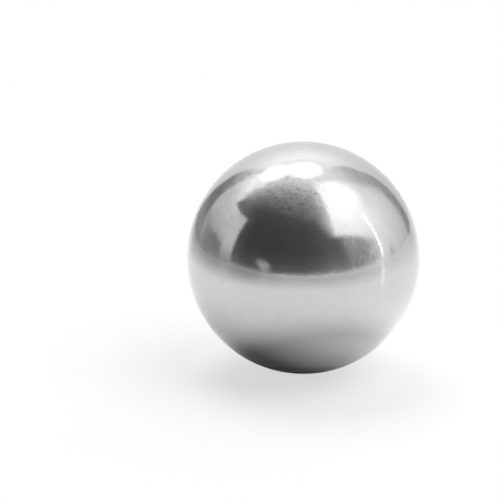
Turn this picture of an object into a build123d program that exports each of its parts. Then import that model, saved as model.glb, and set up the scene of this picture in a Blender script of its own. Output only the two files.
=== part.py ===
from build123d import *
import os

# A steel ball, forged and ground as one solid piece and polished all over.
# The origin is the ball's centre, +Z is up, and sizes are in millimetres.
# It has no flat, hole or seam, so every diameter measures the same.

# Driving dimension
ball_diameter = 25.4


def make_ball(diameter):
    """A solid sphere, which is what a half disc turned about its own flat side gives."""
    radius = diameter / 2
    half_disc = Plane.XZ * make_face(
        CenterArc(center=(0, 0), radius=radius, start_angle=-90, arc_size=180)
        + Line((0, radius), (0, -radius))
    )
    return revolve(half_disc, axis=Axis.Z)


os.makedirs("parts", exist_ok=True)

ball = make_ball(ball_diameter)
ball.label = "ball"
export_step(ball, "parts/ball.step")
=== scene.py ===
import math

import bmesh
import bpy
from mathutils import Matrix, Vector, noise
from mathutils.geometry import intersect_point_line


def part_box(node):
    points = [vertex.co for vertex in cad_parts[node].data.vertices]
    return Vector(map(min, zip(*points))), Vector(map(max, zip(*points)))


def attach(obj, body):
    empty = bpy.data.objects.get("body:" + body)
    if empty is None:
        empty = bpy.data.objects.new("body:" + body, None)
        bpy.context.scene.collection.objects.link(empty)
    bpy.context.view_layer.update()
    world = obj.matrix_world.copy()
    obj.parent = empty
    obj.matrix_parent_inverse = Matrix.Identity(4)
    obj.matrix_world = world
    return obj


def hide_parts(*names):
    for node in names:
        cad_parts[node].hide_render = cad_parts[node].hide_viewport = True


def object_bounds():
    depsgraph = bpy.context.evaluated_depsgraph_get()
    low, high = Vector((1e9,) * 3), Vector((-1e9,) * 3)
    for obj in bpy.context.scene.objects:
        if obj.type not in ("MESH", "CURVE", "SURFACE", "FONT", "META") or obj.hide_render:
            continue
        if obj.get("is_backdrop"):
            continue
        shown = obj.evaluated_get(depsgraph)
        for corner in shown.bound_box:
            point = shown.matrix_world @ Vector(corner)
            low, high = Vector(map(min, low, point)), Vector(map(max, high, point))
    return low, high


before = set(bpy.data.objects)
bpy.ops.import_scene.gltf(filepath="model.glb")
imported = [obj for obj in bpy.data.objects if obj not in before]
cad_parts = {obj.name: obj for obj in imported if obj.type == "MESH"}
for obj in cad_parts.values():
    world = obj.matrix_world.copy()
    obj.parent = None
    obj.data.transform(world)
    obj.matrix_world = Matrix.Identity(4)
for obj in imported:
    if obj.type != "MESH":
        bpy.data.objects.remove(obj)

# A solid steel ball, ground and polished to a mirror, on a white table under soft studio light.
# Lengths are in metres and angles in degrees, unless a name says otherwise.
cad_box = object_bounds()

# The ball, from the frame, whose origin is the ball's centre. The solid's facets leave its box a few
# thousandths of a millimetre short of round, and the mesh keeps within the shortest side.
ball_low, ball_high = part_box("ball")
ball_centre = Vector((0, 0, 0))
ball_radius = (ball_high.z - ball_low.z) / 2
mesh_radius = min(abs(side) for corner in (ball_low, ball_high) for side in corner)

# The picture, in pixels, and where the ball's disc lies in it
picture_side = 500
disc_centre_x = 303.2
disc_centre_y = 257.3
disc_radius = 116.3

# The camera
camera_elevation = 17
camera_distance = 24 * ball_radius
camera_reach = (0.01, 10)
sensor_width_mm = 36

# The ball's mesh: cells along each of the six sides of the cube that it is rounded from
cells_a_side = 120

# The table top: a disc, cut straight behind the ball
table_radius = 1.2
table_sides = 128
table_back_azimuth = -165
table_back_distance = 0.14

# The studio cards: how far off the first hangs, the step to the next, the angle that a cell spans, and the
# cells across a round one
card_distance = 1.1
card_spacing = 0.01
card_cell = 0.8
round_lamp_cells = 48


def direction(azimuth, elevation):
    """The unit vector that points from the ball. Azimuth 0 is towards the camera, 90 to its right."""
    turn = math.radians(azimuth)
    rise = math.radians(elevation)
    return Vector((
        math.sin(turn) * math.cos(rise),
        -math.cos(turn) * math.cos(rise),
        math.sin(rise),
    ))


def new_object(name, maker, material, smooth=True):
    """Makes an object at the origin from a bmesh, with one material."""
    mesh = bpy.data.meshes.new(name)
    maker.to_mesh(mesh)
    maker.free()
    for face in mesh.polygons:
        face.use_smooth = smooth
    mesh.materials.append(material)
    made = bpy.data.objects.new(name, mesh)
    bpy.context.scene.collection.objects.link(made)
    return made


# Materials

def new_material(name):
    """A node material with nothing in it yet, and its node tree."""
    material = bpy.data.materials.new(name)
    material.use_nodes = True
    material.node_tree.nodes.clear()
    return material, material.node_tree


def add_node(tree, kind, inputs=None, **settings):
    """Adds a node, sets its properties, and sets or links its inputs, given by name or number."""
    node = tree.nodes.new(kind)
    for name, value in settings.items():
        setattr(node, name, value)
    for socket, value in (inputs or {}).items():
        if isinstance(value, bpy.types.NodeSocket):
            tree.links.new(value, node.inputs[socket])
        else:
            node.inputs[socket].default_value = value
    return node


def maths(tree, operation, *values):
    """One maths operation on values."""
    node = add_node(tree, "ShaderNodeMath", dict(enumerate(values)), operation=operation)
    return node.outputs["Value"]


def vector_maths(tree, operation, *vectors):
    """One maths operation on vectors, which gives a value where it measures and else a vector."""
    node = add_node(tree, "ShaderNodeVectorMath", dict(enumerate(vectors)), operation=operation)
    measures = operation in ("LENGTH", "DISTANCE", "DOT_PRODUCT")
    return node.outputs["Value" if measures else "Vector"]


def ranged(tree, value, from_low, from_high, to_low, to_high):
    """Maps a value from one range to another and holds it there."""
    inputs = {
        "Value": value,
        "From Min": from_low,
        "From Max": from_high,
        "To Min": to_low,
        "To Max": to_high,
    }
    return add_node(tree, "ShaderNodeMapRange", inputs).outputs["Result"]


def blend(tree, share, first, second):
    """The first value where the share is 0, the second where it is 1, and a mix between."""
    return add_node(tree, "ShaderNodeMix", {0: share, 2: first, 3: second}).outputs[0]


def blend_shaders(tree, share, first, second):
    """The first shader where the share is 0, the second where it is 1, and a mix between."""
    return add_node(tree, "ShaderNodeMixShader", {0: share, 1: first, 2: second}).outputs[0]


def mirrored_rays(tree, seen):
    """1 for a ray that comes off something glossy or through something clear, and 0 for others."""
    return maths(tree, "MAXIMUM", seen.outputs["Is Glossy Ray"], seen.outputs["Is Transmission Ray"])


def finish_material(tree, shader):
    """Links a shader to the material's output."""
    add_node(tree, "ShaderNodeOutputMaterial", {"Surface": shader})


# The polished steel

# A grain is the size of a noise pattern's lumps, a band is the part of the noise that makes a mark, and a
# shade is how light the steel is.
most_noise = (0.25, 0.75)
middle_noise = (0.3, 0.7)

wave_grain_mm = 1.2
wave_depth_mm = 0.004
lapping_grain_mm = 0.21
lapping_depth_mm = 0.0035

haze_grain_mm = 5
haze_roughness = (0.06, 0.1)
cloud_grain_mm = 1.6
cloud_shade = (0.535, 0.555)
speck_grain_mm = 0.2
speck_shade = 0.05

# The hairline scratches
scratch_turns = ((20, 35, 0), (75, -20, 40), (-40, 60, 15), (10, -70, 65))
scratch_grain_mm = 0.09
scratch_stretch = 34
scratch_band = (0.69, 0.76)
scratched_grain_mm = 3.4
scratched_band = (0.5, 0.62)
scratch_depth_mm = 0.0015
scratch_roughness = 0.1

# The worn patch, whose middle is given by azimuth and elevation
worn_place = (-5, 49)
worn_inner_mm = 1
worn_outer_mm = 4.4
worn_depth_factor = 2.1
fleck_turn = (0, 90, 90)
fleck_grain_mm = 0.26
fleck_stretch = 2
fleck_band = (0.55, 0.69)
fleck_shade = 0.2


def grain(tree, place, size_mm, detail=2, turned=(0, 0, 0), stretch=1):
    """Noise on the ball's own coordinates, in lumps of size_mm that are turned and drawn out one way."""
    size = size_mm / 1000
    inputs = {
        "Vector": place,
        "Rotation": [math.radians(angle) for angle in turned],
        "Scale": (size, size * stretch, size),
    }
    mapping = add_node(tree, "ShaderNodeMapping", inputs, vector_type="TEXTURE")
    inputs = {"Vector": mapping.outputs["Vector"], "Scale": 1, "Detail": detail}
    return add_node(tree, "ShaderNodeTexNoise", inputs).outputs["Fac"]


def hairlines(tree, place):
    """Fine broken scratches from handling, in four directions: 0 on clean steel and 1 in a scratch."""
    total = 0
    for turned in scratch_turns:
        lines = grain(tree, place, scratch_grain_mm, 1, turned, scratch_stretch)
        patches = grain(tree, place, scratched_grain_mm, 1, turned)
        thin = ranged(tree, lines, *scratch_band, 0, 1)
        broken = ranged(tree, patches, *scratched_band, 0, 1)
        scratch = maths(tree, "MULTIPLY", thin, broken)
        total = maths(tree, "MAXIMUM", total, scratch)
    return total


def wear(tree, place):
    """How worn the steel is: 1 in the middle of the worn patch high on the front, and 0 away from it."""
    middle = direction(*worn_place) * ball_radius
    apart = vector_maths(tree, "DISTANCE", place, middle)
    return ranged(tree, apart, worn_inner_mm / 1000, worn_outer_mm / 1000, 1, 0)


def flecks(tree, place, worn):
    """Small dull flecks, wider than they are high, on the worn patch."""
    spots = grain(tree, place, fleck_grain_mm, 1, fleck_turn, fleck_stretch)
    return maths(tree, "MULTIPLY", ranged(tree, spots, *fleck_band, 0, fleck_shade), worn)


def raised(tree, height, depth_mm, under=None):
    """A bump as deep as depth_mm where the height is 1, on top of another."""
    inputs = {"Height": height, "Strength": 1, "Distance": depth_mm / 1000}
    if under:
        inputs["Normal"] = under
    return add_node(tree, "ShaderNodeBump", inputs).outputs["Normal"]


def steel_bumps(tree, place, worn, scratch):
    """The waves, the lapping marks, deeper on the worn patch, and the scratches."""
    waves = raised(tree, grain(tree, place, wave_grain_mm), wave_depth_mm)
    deeper = ranged(tree, worn, 0, 1, 1, worn_depth_factor)
    marks = maths(tree, "MULTIPLY", grain(tree, place, lapping_grain_mm, 1), deeper)
    lapping = raised(tree, marks, lapping_depth_mm, waves)
    return raised(tree, scratch, -scratch_depth_mm, lapping)


def steel_tone(tree, place, worn):
    """The steel's grey: clouded and specked, and darker in the flecks."""
    cloud = ranged(tree, grain(tree, place, cloud_grain_mm, 4), *most_noise, *cloud_shade)
    speck = ranged(tree, grain(tree, place, speck_grain_mm, 1), *most_noise, 0, speck_shade)
    clean = maths(tree, "ADD", cloud, speck)
    shade = maths(tree, "SUBTRACT", clean, flecks(tree, place, worn))
    tone = add_node(tree, "ShaderNodeCombineColor", {"Red": shade, "Green": shade, "Blue": shade})
    return tone.outputs["Color"]


def polished_steel():
    """Bare steel, lapped to a mirror: faint waves, an uneven haze, hairline scratches and a worn patch."""
    material, tree = new_material("polished_steel")
    place = add_node(tree, "ShaderNodeTexCoord").outputs["Object"]
    scratch = hairlines(tree, place)
    worn = wear(tree, place)
    haze = ranged(tree, grain(tree, place, haze_grain_mm, 4), *middle_noise, *haze_roughness)
    inputs = {
        "Base Color": steel_tone(tree, place, worn),
        "Metallic": 1,
        "Roughness": maths(tree, "MULTIPLY_ADD", scratch, scratch_roughness, haze),
        "Normal": steel_bumps(tree, place, worn, scratch),
    }
    surface = add_node(tree, "ShaderNodeBsdfPrincipled", inputs)
    finish_material(tree, surface.outputs["BSDF"])
    return material


def make_ball():
    """The whole sphere: a cube cut into even cells, whose corners are pushed out to the ball's radius."""
    maker = bmesh.new()
    bmesh.ops.create_cube(maker, size=2)
    bmesh.ops.subdivide_edges(maker, edges=maker.edges[:], cuts=cells_a_side - 1, use_grid_fill=True)
    for corner in maker.verts:
        spread = Vector([math.tan(part * math.pi / 4) for part in corner.co])
        corner.co = ball_centre + spread.normalized() * mesh_radius
    bmesh.ops.recalc_face_normals(maker, faces=maker.faces[:])
    ball = new_object("polished_ball", maker, polished_steel())
    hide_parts("ball")
    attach(ball, "root")


# The table

# Nearness is 1 over the distance from the ball's foot in metres, and side is how far to the right of the
# foot a place lies, from -1 to 1.
table_white = 0.96
# Painted light on the table, only in mirrored rays: a glow brighter than the plain table, more so at the
# right, and painted shade in the far corner at the left
painted_table_glow = 1.05
painted_right_glow = 1.14
right_side = (0.6, 1)
painted_far_left_shade = 0.57
left_side = (-0.75, -0.25)
painted_glow_nearness = (3, 19)
far_gloss = 0.42
gloss_nearness = (6, 16.5)
gloss_roughness = 0.04
camera_lift = 0.65

# The strip lamp's painted reflection on the table, a streak seen only in mirrored rays, and the azimuth of
# the spot on the steel that it narrows towards
streak_azimuth = 83.5
streak_spot_azimuth = 45
streak_half_width = 2.4
painted_streak_glow = 0.34
streak_start_mm = 34
streak_full_mm = 44


def painted_lamp_reflection(tree, place):
    """How much the strip lamp's painted reflection adds to the table's glow. It narrows towards the spot
    that mirrors it.
    """
    start = ball_centre + direction(streak_spot_azimuth, 0) * ball_radius
    start.z = ball_low.z
    away = vector_maths(tree, "SUBTRACT", place, start)
    length = vector_maths(tree, "LENGTH", away)
    forward = vector_maths(tree, "DOT_PRODUCT", away, direction(streak_azimuth, 0))
    on_line = maths(tree, "DIVIDE", forward, length)
    line = ranged(tree, on_line, math.cos(math.radians(streak_half_width)), 1, 0, painted_streak_glow)
    reach = ranged(tree, length, streak_start_mm / 1000, streak_full_mm / 1000, 0, 1)
    return maths(tree, "MULTIPLY", line, reach)


def table_places(tree, place):
    """The nearness and the side of a place on the table."""
    flat = vector_maths(tree, "MULTIPLY", place, (1, 1, 0))
    distance = vector_maths(tree, "LENGTH", flat)
    across = add_node(tree, "ShaderNodeSeparateXYZ", {0: place}).outputs["X"]
    return maths(tree, "DIVIDE", 1, distance), maths(tree, "DIVIDE", across, distance)


def painted_table_shading(tree, place, nearness, side):
    """How bright the table is in the steel, as painted light: brighter than the plain table, more so at the
    right, and with painted shade in the far corner at the left.
    """
    near = ranged(tree, side, *right_side, painted_table_glow, painted_right_glow)
    far = maths(tree, "MULTIPLY", near, ranged(tree, side, *left_side, painted_far_left_shade, 1))
    glow = blend(tree, ranged(tree, nearness, *painted_glow_nearness, 0, 1), far, near)
    return maths(tree, "ADD", glow, painted_lamp_reflection(tree, place))


def white_table():
    """Matt white, which the steel mirrors as glossy far off, at a low angle. In the steel its white carries
    painted light, brighter than the plain table and more so at the right, painted shade far off at the
    left, and a painted reflection of the strip lamp. The camera sees it lifted towards pure white, so that
    the shadow on it is light."""
    material, tree = new_material("white_table")
    seen = add_node(tree, "ShaderNodeLightPath")
    mirrored = mirrored_rays(tree, seen)
    place = add_node(tree, "ShaderNodeTexCoord").outputs["Object"]
    nearness, side = table_places(tree, place)
    # In mirrored rays the table's white carries the painted light, the painted shade and the strip lamp's
    # painted reflection
    shade = blend(tree, mirrored, 1.0, painted_table_shading(tree, place, nearness, side))
    white = maths(tree, "MULTIPLY", shade, table_white)
    matt = add_node(tree, "ShaderNodeBsdfDiffuse", {"Color": white}).outputs[0]
    gloss = add_node(tree, "ShaderNodeBsdfAnisotropic", {"Roughness": gloss_roughness}).outputs[0]
    gloss_share = maths(tree, "MULTIPLY", mirrored, ranged(tree, nearness, *gloss_nearness, far_gloss, 0))
    top = blend_shaders(tree, gloss_share, matt, gloss)
    lift = add_node(tree, "ShaderNodeEmission", {"Strength": 1}).outputs[0]
    lift_share = maths(tree, "MULTIPLY", seen.outputs["Is Camera Ray"], camera_lift)
    finish_material(tree, blend_shaders(tree, lift_share, top, lift))
    return material


def make_table():
    """A plain top that touches the ball's lowest point, and ends in a straight edge behind the ball."""
    maker = bmesh.new()
    bmesh.ops.create_circle(maker, cap_ends=True, segments=table_sides, radius=table_radius)
    bmesh.ops.translate(maker, verts=maker.verts[:], vec=(ball_centre.x, ball_centre.y, ball_low.z))
    outwards = direction(table_back_azimuth, 0)
    bmesh.ops.bisect_plane(
        maker,
        geom=maker.verts[:] + maker.edges[:] + maker.faces[:],
        plane_co=ball_centre + outwards * table_back_distance,
        plane_no=outwards,
        clear_outer=True,
    )
    new_object("white_table", maker, white_table(), smooth=False)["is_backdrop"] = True


# The studio cards, which only the steel mirrors

# The patches in their brightness: the step between two cards' patterns, and the fractal noise's settings
pattern_step = 7.3
pattern_smoothness = 0.5
pattern_gap = 2.1
pattern_octaves = 4


def along(stops, place):
    """Straight-line interpolation between (place, value) stops."""
    for (start, low), (end, high) in zip(stops, stops[1:]):
        if place <= end:
            return low + (high - low) * max(place - start, 0) / (end - start)
    return stops[-1][1]


def eased(inside, width):
    """0 at an edge, 1 at width degrees inside it, and smooth between."""
    share = min(max(inside / width, 0), 1)
    return share * share * (3 - 2 * share)


def is_inside(outline, point):
    """Whether a point lies within an outline, by counting the edges to its right."""
    crossings = 0
    for (x1, y1, _), (x2, y2, _) in zip(outline, outline[1:] + outline[:1]):
        spans = (y1 > point.y) != (y2 > point.y)
        if spans and point.x < x1 + (x2 - x1) * (point.y - y1) / (y2 - y1):
            crossings += 1
    return crossings % 2 == 1


def edge_cover(outline, point):
    """0 outside an outline and 1 well inside. Each edge fades over the degrees of its first corner."""
    if not is_inside(outline, point):
        return 0
    cover = 1
    for (x1, y1, width), (x2, y2, _) in zip(outline, outline[1:] + outline[:1]):
        start = Vector((x1, y1))
        end = Vector((x2, y2))
        share = intersect_point_line(point, start, end)[1]
        nearest = start.lerp(end, min(max(share, 0), 1))
        cover = min(cover, eased((point - nearest).length, width))
    return cover


def card_glow():
    """Gives off the brightness held by a card's glow attribute, and lets through where its cover is low."""
    material, tree = new_material("card_glow")
    glow = add_node(tree, "ShaderNodeAttribute", attribute_name="glow").outputs["Fac"]
    cover = add_node(tree, "ShaderNodeAttribute", attribute_name="cover").outputs["Fac"]
    clear = add_node(tree, "ShaderNodeBsdfTransparent").outputs[0]
    light = add_node(tree, "ShaderNodeEmission", {"Strength": glow}).outputs[0]
    finish_material(tree, blend_shaders(tree, cover, clear, light))
    return material


def hang(name, maker, cover, material):
    """Trims a card to what shows, and puts it in the studio, where only mirrored rays meet it."""
    unseen = [face for face in maker.faces if all(corner[cover] == 0 for corner in face.verts)]
    bmesh.ops.delete(maker, geom=unseen, context="FACES")
    card = new_object(name, maker, material)
    card.visible_camera = False
    card.visible_diffuse = False
    card.visible_shadow = False
    card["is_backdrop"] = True


def unevenness(point, order, mottle):
    """A factor round 1 that varies in patches. mottle is its amount, and the patches' width and height."""
    amount, width, height = mottle
    place = Vector((point.x / width, point.y / height, order * pattern_step))
    return 1 + amount * noise.fractal(place, pattern_smoothness, pattern_gap, pattern_octaves)


def fill_card(name, order, material, outline, look, shade):
    """A curved card. Its outline is (x, y, softness) corners in degrees, look turns a point in them into a
    direction, and shade gives its brightness there. Cards of a higher order hang nearer."""
    low = Vector([min(corner[axis] for corner in outline) for axis in range(2)])
    high = Vector([max(corner[axis] for corner in outline) for axis in range(2)])
    columns, rows = (math.ceil(side / card_cell) for side in high - low)
    maker = bmesh.new()
    bmesh.ops.create_grid(maker, x_segments=columns, y_segments=rows, size=0.5)
    glow = maker.verts.layers.float.new("glow")
    cover = maker.verts.layers.float.new("cover")
    for corner in maker.verts:
        point = low + (high - low) * Vector((corner.co.x + 0.5, corner.co.y + 0.5))
        corner[glow] = shade(point)
        corner[cover] = edge_cover(outline, point)
        corner.co = ball_centre + look(point) * (card_distance - order * card_spacing)
    hang(name, maker, cover, material)


def make_card(name, order, material, outline, heights, turns=((0, 1), (1, 1)), mottle=(0, 1, 1)):
    """A card whose points are (azimuth, elevation). heights gives its brightness by elevation, and turns a
    factor on that by azimuth."""
    def look(point):
        return direction(point.x, point.y)

    def shade(point):
        return along(heights, point.y) * along(turns, point.x) * unevenness(point, order, mottle)

    fill_card(name, order, material, outline, look, shade)


def make_ceiling(order, material):
    """The ceiling, dark on the camera's side and pale by the lamps. Its points are degrees from straight
    overhead, across and towards an azimuth, and its bands of brightness run across."""
    def look(point):
        turn = math.degrees(math.atan2(point.x, point.y))
        return direction(ceiling_azimuth + turn, 90 - point.length)

    def shade(point):
        band = point.y * along(ceiling_closeness, point.x)
        return along(ceiling_bands, band) * unevenness(point, order, ceiling_mottle)

    fill_card("ceiling", order, material, ceiling_outline, look, shade)


def make_round_lamp(name, order, material, middle, half_angle, soft, level):
    """A round lamp face that looks at the ball from one direction, with a soft rim."""
    distance = card_distance - order * card_spacing
    radius = math.tan(math.radians(half_angle)) * distance
    maker = bmesh.new()
    cells = round_lamp_cells
    bmesh.ops.create_grid(maker, x_segments=cells, y_segments=cells, size=radius)
    glow = maker.verts.layers.float.new("glow")
    cover = maker.verts.layers.float.new("cover")
    facing = direction(*middle).to_track_quat("Z", "Y")
    for corner in maker.verts:
        inside = (1 - corner.co.length / radius) * half_angle
        corner[glow] = level
        corner[cover] = eased(inside, soft)
        corner.co = ball_centre + facing @ (corner.co + Vector((0, 0, distance)))
    hang(name, maker, cover, material)


# The room round the ball

# The ceiling, in degrees from straight overhead
ceiling_azimuth = -18.8
ceiling_outline = (
    (-51, -5, 6), (-20, -5, 6), (-12, -14, 6), (12, -16, 6), (50, 20, 8), (34, 30, 14), (12, 43, 14),
    (-14, 46, 14), (-38, 34, 12), (-42, 24, 8), (-48, 10, 8),
)
ceiling_bands = (
    (-11, 1.3), (-4, 1), (2, 0.77), (8, 0.56), (13, 0.46), (19, 0.33), (28, 0.22), (36, 0.13), (45, 0.09),
)
ceiling_closeness = (
    (-46, 2.2), (-30, 1.6), (-20, 1.3), (-6, 1.06), (0, 1), (9, 1), (16, 0.78), (27, 0.66), (40, 0.5),
)
ceiling_mottle = (0.35, 3, 2.2)

# The walls and what stands before them. A card further down the list hangs nearer.
studio_walls = {
    "back_wall": {
        "outline": ((145, -8, 3), (216, -8, 5), (216, 62, 6), (145, 62, 4)),
        "heights": ((-8, 0.88), (10, 0.97), (20, 1.08), (30, 1.24), (40, 1.47), (48, 1.6), (62, 1.6)),
        "turns": ((147, 0.82), (165, 0.95), (180, 1), (195, 0.98), (210, 0.9)),
        "mottle": (0.03, 8, 8),
    },
    "right_wall": {
        "outline": ((85, -3, 0.5), (151, -3, 4), (154, 84, 6), (85, 84, 0.5)),
        "heights": ((-3, 0.86), (10, 1), (30, 1.2), (44, 1.25), (60, 1.45), (80, 1.45), (85, 1.1)),
        "turns": ((85, 1.18), (95, 1.12), (110, 1), (120, 0.95), (130, 0.82), (150, 0.88)),
        "mottle": (0.03, 8, 8),
    },
    "lamp_rail": {
        "outline": ((156, 48, 4), (205, 48, 4), (205, 57, 4), (156, 57, 4)),
        "heights": ((48, 1.35), (57, 1.42)),
        "mottle": (0.05, 6, 3),
    },
    "left_wall": {
        "outline": ((-142, -9, 3), (-76, -9, 0.5), (-76, 60, 3), (-142, 60, 6)),
        "heights": (
            (-9, 0.42), (3, 0.35), (8, 0.37), (13, 0.62), (22, 0.77), (30, 0.84), (36, 0.99), (46, 1.48),
        ),
        "turns": ((-142, 1.1), (-120, 1), (-76, 1)),
        "mottle": (0.12, 9, 7),
    },
    "left_gap": {
        "outline": (
            (-160, -9, 4), (-132, -9, 3), (-132.5, 18, 3), (-132.5, 33, 5), (-131, 50, 12), (-149, 50, 7),
            (-151.5, 30, 4.5), (-152.5, 12, 4), (-156, 3, 4),
        ),
        "heights": (
            (-9, 0.42), (1, 0.38), (9, 0.26), (14, 0.27), (22, 0.37), (28, 0.56), (36, 0.8), (46, 1.3),
        ),
        "mottle": (0.4, 2.6, 5),
    },
    "left_post": {
        "outline": ((-134, -4, 3), (-119, -4, 6), (-121, 13, 6), (-134, 13, 3)),
        "heights": ((-4, 0.42), (3, 0.47), (8, 0.54)),
        "mottle": (0.12, 4, 4),
    },
    "left_shade": {
        "outline": ((-119, -3, 5), (-91, -3, 4), (-92, 10, 5), (-104, 14, 5), (-116, 10, 6)),
        "heights": ((-3, 0.37), (3, 0.31), (9, 0.28)),
        "mottle": (0.15, 5, 4),
    },
    "left_panel": {
        "outline": ((-92, -2, 2), (-76, -2, 0.5), (-76, 37.5, 0.5), (-92, 37.5, 2)),
        "heights": ((-2, 0.4), (4, 0.5), (10, 0.7), (16, 0.8), (30, 0.82), (37, 0.8)),
        "mottle": (0.04, 6, 6),
    },
    "right_gap": {
        "outline": (
            (131, -4, 1), (148.5, -4, 2), (149.5, 30, 5), (156, 42, 10), (157, 56, 12), (148, 64, 14),
            (122, 64, 12), (120, 44, 10), (130, 24, 7),
        ),
        "heights": (
            (-4, 0.38), (5, 0.42), (15, 0.48), (25, 0.52), (35, 0.66), (42, 0.72), (50, 0.92), (62, 1.05),
        ),
        "mottle": (0.22, 3, 3),
    },
    "table_rim": {
        "outline": ((40, -5, 2), (85.5, -5, 1), (85.5, 6, 2), (40, 6, 8)),
        "heights": ((-5, 1), (6, 1)),
        "turns": ((45, 0.7), (55, 0.74), (63, 0.8), (70, 0.88), (78, 0.98), (83, 1.1), (86, 1.2)),
    },
    "low_band": {
        "outline": ((28, -1.6, 4), (56, -0.2, 3.2), (86, 0.9, 0.5), (86, 30, 8), (28, 42, 8)),
        "heights": ((0, 1), (18, 1.02), (26, 1.3), (32, 1.5)),
        "turns": ((30, 0.17), (40, 0.22), (52, 0.4), (66, 0.45), (75, 0.66), (86, 1.1)),
        "mottle": (0.5, 1.3, 9),
    },
    "front_dark": {
        "outline": (
            (-76.8, -3.4, 4.5), (50, -2.6, 14), (48, 42, 14), (44, 72, 8), (-70, 72, 8), (-100, 62, 12),
            (-118, 55, 9), (-110, 43, 4), (-108, 34.7, 1.8), (-76.8, 36.2, 1.4),
        ),
        "heights": ((0, 0.25), (2, 0.17), (5, 0.13), (10, 0.1), (20, 0.072), (40, 0.078), (60, 0.11)),
        "turns": ((-95, 2.9), (-75, 1.5), (-62, 1), (-30, 1), (0, 1.15), (15, 1.45), (30, 2.1)),
        "mottle": (0.1, 7, 3),
    },
    "pale_stand": {
        "outline": (
            (-45, 1, 5), (-36, -6, 6), (-28, -5, 7), (-30, 8, 6), (-36, 13, 6), (-45, 14, 5), (-51, 9, 6),
        ),
        "heights": ((-5, 0.5), (0, 0.42), (6, 0.5), (13, 0.26)),
        "mottle": (0.25, 3, 3),
    },
    "grey_stand": {
        "outline": ((93, -2, 4), (105, -2, 4), (104, 10, 6), (95, 10, 5)),
        "heights": ((-2, 0.82), (2.5, 0.68), (6, 0.92), (10, 1)),
    },
}

# The large soft lamp at the right, the glow beside it and the thin strip on its edge
studio_lamps = {
    "lamp_halo": {
        "outline": (
            (26, 33, 5), (42, 31, 5), (60, 58, 5), (78, 79, 8), (30, 80, 14), (12, 72, 14), (14, 60, 14),
            (17, 46, 14),
        ),
        "heights": ((32, 0.85), (45, 0.93), (60, 0.82), (70, 0.95)),
        "turns": ((15, 0.35), (30, 0.62), (38, 1)),
        "mottle": (0.1, 3, 3),
    },
    "key_lamp": {
        "outline": (
            (35.4, 32.3, 5), (50, 29.2, 6), (60, 25, 7), (70, 20, 8), (80, 13.5, 6), (86, 12.5, 3),
            (98, 37, 12), (114, 43, 14), (127, 60, 14), (132, 87, 9), (84, 86, 8), (66, 82.5, 7),
            (50, 72.5, 6), (42, 62, 6), (38, 53, 6), (36.2, 45, 6), (35.4, 39, 6),
        ),
        "heights": ((12, 1.05), (30, 1.46), (48, 1.76), (60, 1.9), (70, 1.85), (76, 1.7), (82, 1.4)),
        "turns": ((37, 0.88), (50, 0.92), (64, 1)),
    },
    "strip_lamp": {
        "outline": ((84, -2, 0.9), (86.1, -2, 0.9), (86.1, 40, 3), (84, 40, 0.9)),
        "heights": ((-2, 1.3), (2.4, 1.3), (4.4, 3.2), (38, 2.6)),
        "mottle": (0.1, 3, 3),
    },
}

# The two round lamps overhead, each with the azimuth and elevation of its middle
round_lamps = {
    "left_lamp": {"middle": (-142, 58.8), "half_angle": 12.4, "soft": 5, "level": 2},
    "back_lamp": {"middle": (178, 67.3), "half_angle": 14, "soft": 5, "level": 2},
}

# The lamps that light the table
table_lights = {
    "key_light": {"azimuth": 74, "elevation": 58, "spread": 50, "share": 0.42},
    "overhead_light": {"azimuth": -152, "elevation": 65, "spread": 34, "share": 0.4},
    "back_wall_light": {"azimuth": 155, "elevation": 35, "spread": 70, "share": 0.24},
}


def make_studio():
    """A pale room, dark behind the camera, with a large soft lamp at the right and two round ones above."""
    material = card_glow()
    for order, (name, card) in enumerate(studio_walls.items()):
        make_card(name, order, material, **card)
    order = len(studio_walls)
    make_ceiling(order, material)
    for order, (name, card) in enumerate(studio_lamps.items(), order + 1):
        make_card(name, order, material, **card)
    for order, (name, lamp) in enumerate(round_lamps.items(), order + 1):
        make_round_lamp(name, order, material, **lamp)


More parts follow.
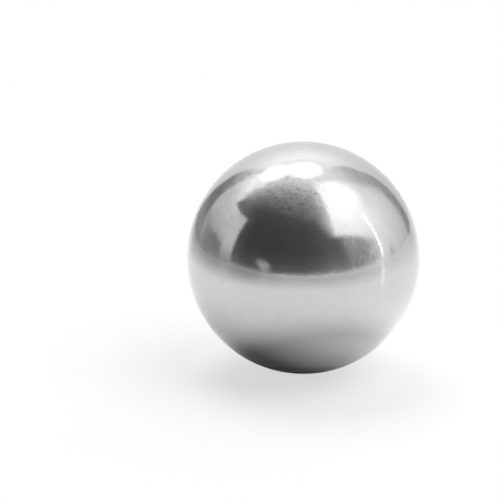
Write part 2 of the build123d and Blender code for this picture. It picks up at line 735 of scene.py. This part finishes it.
def make_light(name, azimuth, elevation, spread, share):
    """A large soft light on the table that isn't mirrored. share is what it adds to the table's white."""
    light = bpy.data.lights.new(name, "SUN")
    light.angle = math.radians(spread)
    light.energy = share * math.pi / math.sin(math.radians(elevation))
    lamp = bpy.data.objects.new(name, light)
    lamp.rotation_mode = "QUATERNION"
    lamp.rotation_quaternion = direction(azimuth, elevation).to_track_quat("Z", "Y")
    lamp.visible_glossy = False
    bpy.context.scene.collection.objects.link(lamp)


def make_backdrop():
    """White to the camera and in mirrored rays, with no light on the table."""
    world = bpy.data.worlds.new("backdrop")
    bpy.context.scene.world = world
    world.use_nodes = True
    tree = world.node_tree
    tree.nodes.clear()
    seen = add_node(tree, "ShaderNodeLightPath")
    shown = maths(tree, "MAXIMUM", seen.outputs["Is Camera Ray"], mirrored_rays(tree, seen))
    white = add_node(tree, "ShaderNodeBackground", {"Color": (1, 1, 1, 1), "Strength": shown})
    add_node(tree, "ShaderNodeOutputWorld", {"Surface": white.outputs[0]})


def make_camera():
    """Looks at the ball from the front and above, with the ball's disc where the picture has it."""
    lens_pixels = disc_radius * math.sqrt((camera_distance / ball_radius) ** 2 - 1)
    away = direction(0, camera_elevation)
    right = Vector((1, 0, 0))
    up = away.cross(right)
    move_right = (disc_centre_x - picture_side / 2) / lens_pixels * camera_distance
    move_down = (disc_centre_y - picture_side / 2) / lens_pixels * camera_distance
    place = ball_centre + away * camera_distance
    aim = ball_centre - right * move_right + up * move_down
    camera = bpy.data.objects.new("camera", bpy.data.cameras.new("camera"))
    camera.data.sensor_width = sensor_width_mm
    camera.data.lens = lens_pixels * sensor_width_mm / picture_side
    camera.data.clip_start, camera.data.clip_end = camera_reach
    camera.rotation_mode = "QUATERNION"
    camera.location = place
    camera.rotation_quaternion = (aim - place).to_track_quat("-Z", "Y")
    bpy.context.scene.collection.objects.link(camera)
    bpy.context.scene.camera = camera


make_camera()
make_ball()
make_table()
make_studio()
for name, light in table_lights.items():
    make_light(name, **light)
make_backdrop()
bpy.context.scene.view_settings.view_transform = "Standard"

boxes = {"cad": cad_box, "visual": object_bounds()}
{name: [list(corner) for corner in box] for name, box in boxes.items()}
